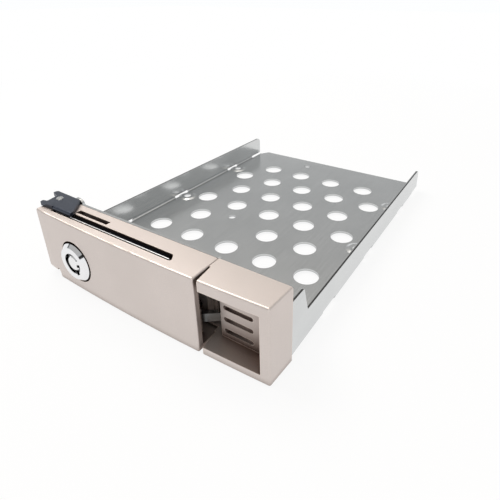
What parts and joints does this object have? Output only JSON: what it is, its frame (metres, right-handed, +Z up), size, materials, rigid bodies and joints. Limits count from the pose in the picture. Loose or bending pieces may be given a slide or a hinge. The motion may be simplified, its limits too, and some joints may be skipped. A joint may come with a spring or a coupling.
{
  "type": "hot swap drive caddy",
  "caption": "Folded steel drive tray with a metal bezel: a swinging lever with a key lock, and a fixed frame with a slotted finger recess.",
  "frame": {"origin": "centre of the four drive screw holes, on the upper face of the tray floor", "axes": "+Y from the bezel towards the back of the bay, +Z up, +X to the right seen from the front"},
  "size_m": [0.107, 0.1564, 0.0293],
  "materials": {
    "galvanised_steel": "satin",
    "champagne_metal": "satin",
    "black_steel": "satin",
    "fastener_steel": "satin",
    "spring_steel": "polished",
    "lock_chrome": "polished",
    "lock_post": "satin"
  },
  "bodies": {
    "tray": {"tray": "galvanised_steel", "bezel_frame": "champagne_metal", "hinge_pin": "fastener_steel", "upper_thrust_washer": "fastener_steel", "lower_thrust_washer": "fastener_steel", "pin_retaining_ring": "fastener_steel", "catch_spring": "spring_steel", "catch_screw": "fastener_steel", "keeper": "fastener_steel", "keeper_rivet": "fastener_steel", "frame_screw_1": "fastener_steel", "frame_screw_2": "fastener_steel", "frame_screw_3": "fastener_steel", "frame_screw_4": "fastener_steel", "frame_screw_5": "fastener_steel"},
    "lever": {"lever_cover": "champagne_metal", "lever_arm": "black_steel", "lock_body": "lock_chrome", "lock_nut": "lock_chrome", "lock_washer": "fastener_steel", "cover_screw_1": "fastener_steel", "cover_screw_2": "fastener_steel", "cover_screw_3": "fastener_steel"},
    "lock_plug": {"lock_rotor": "lock_post", "lock_pins": "fastener_steel", "lock_cam": "fastener_steel", "cam_screw": "fastener_steel"}
  },
  "joints": [
    {"name": "lever_swing", "type": "hinge", "parent": "tray", "child": "lever", "pos_m": [-0.0468, -0.089, 0], "axis": [0, 0, -1], "range_deg": [0, 70]},
    {"name": "lock_turn", "type": "hinge", "parent": "lever", "child": "lock_plug", "pos_m": [-0.0289, -0.0955, 0.0106], "axis": [0, -1, 0], "range_deg": [0, 90]}
  ]
}
